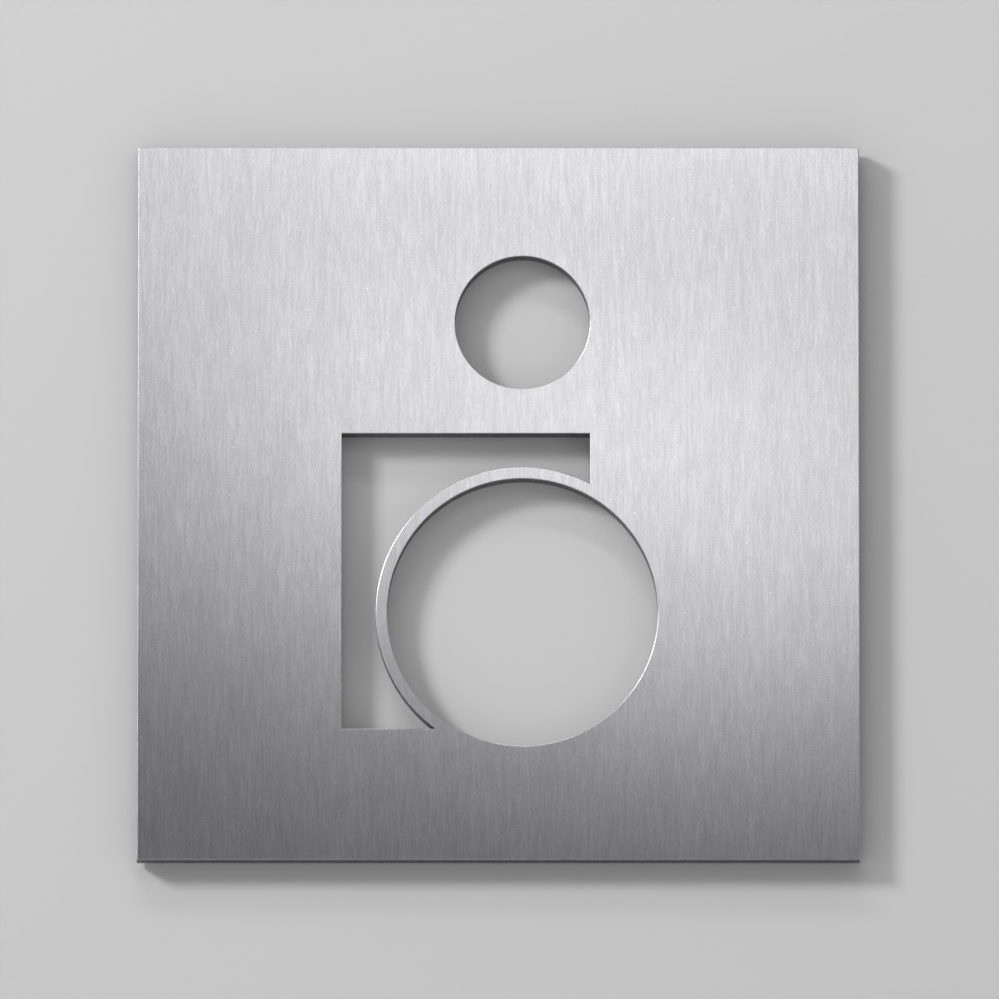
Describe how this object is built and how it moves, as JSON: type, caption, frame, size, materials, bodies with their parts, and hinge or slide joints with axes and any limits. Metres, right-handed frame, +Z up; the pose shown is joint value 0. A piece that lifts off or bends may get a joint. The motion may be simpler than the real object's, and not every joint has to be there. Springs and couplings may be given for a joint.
{
  "type": "accessible toilet sign",
  "caption": "Thick square brushed steel toilet sign. A seated wheelchair figure is cut right through the plate, and foam tape behind it holds it just off the wall.",
  "frame": {"origin": "on the wall plane, straight behind the centre of the square plate", "axes": "+Z up, -Y out of the front face towards the reader, +X to the reader's right"},
  "size_m": [0.15, 0.0061, 0.15],
  "materials": {
    "brushed_stainless": "brushed with a fine upright grain, waterjet-cut walls and lightly broken edges",
    "foam_tape": "matte closed-cell acrylic foam"
  },
  "bodies": {
    "root": {"sign_plate": "brushed_stainless", "mounting_tape_left": "foam_tape", "mounting_tape_right": "foam_tape"}
  },
  "joints": []
}
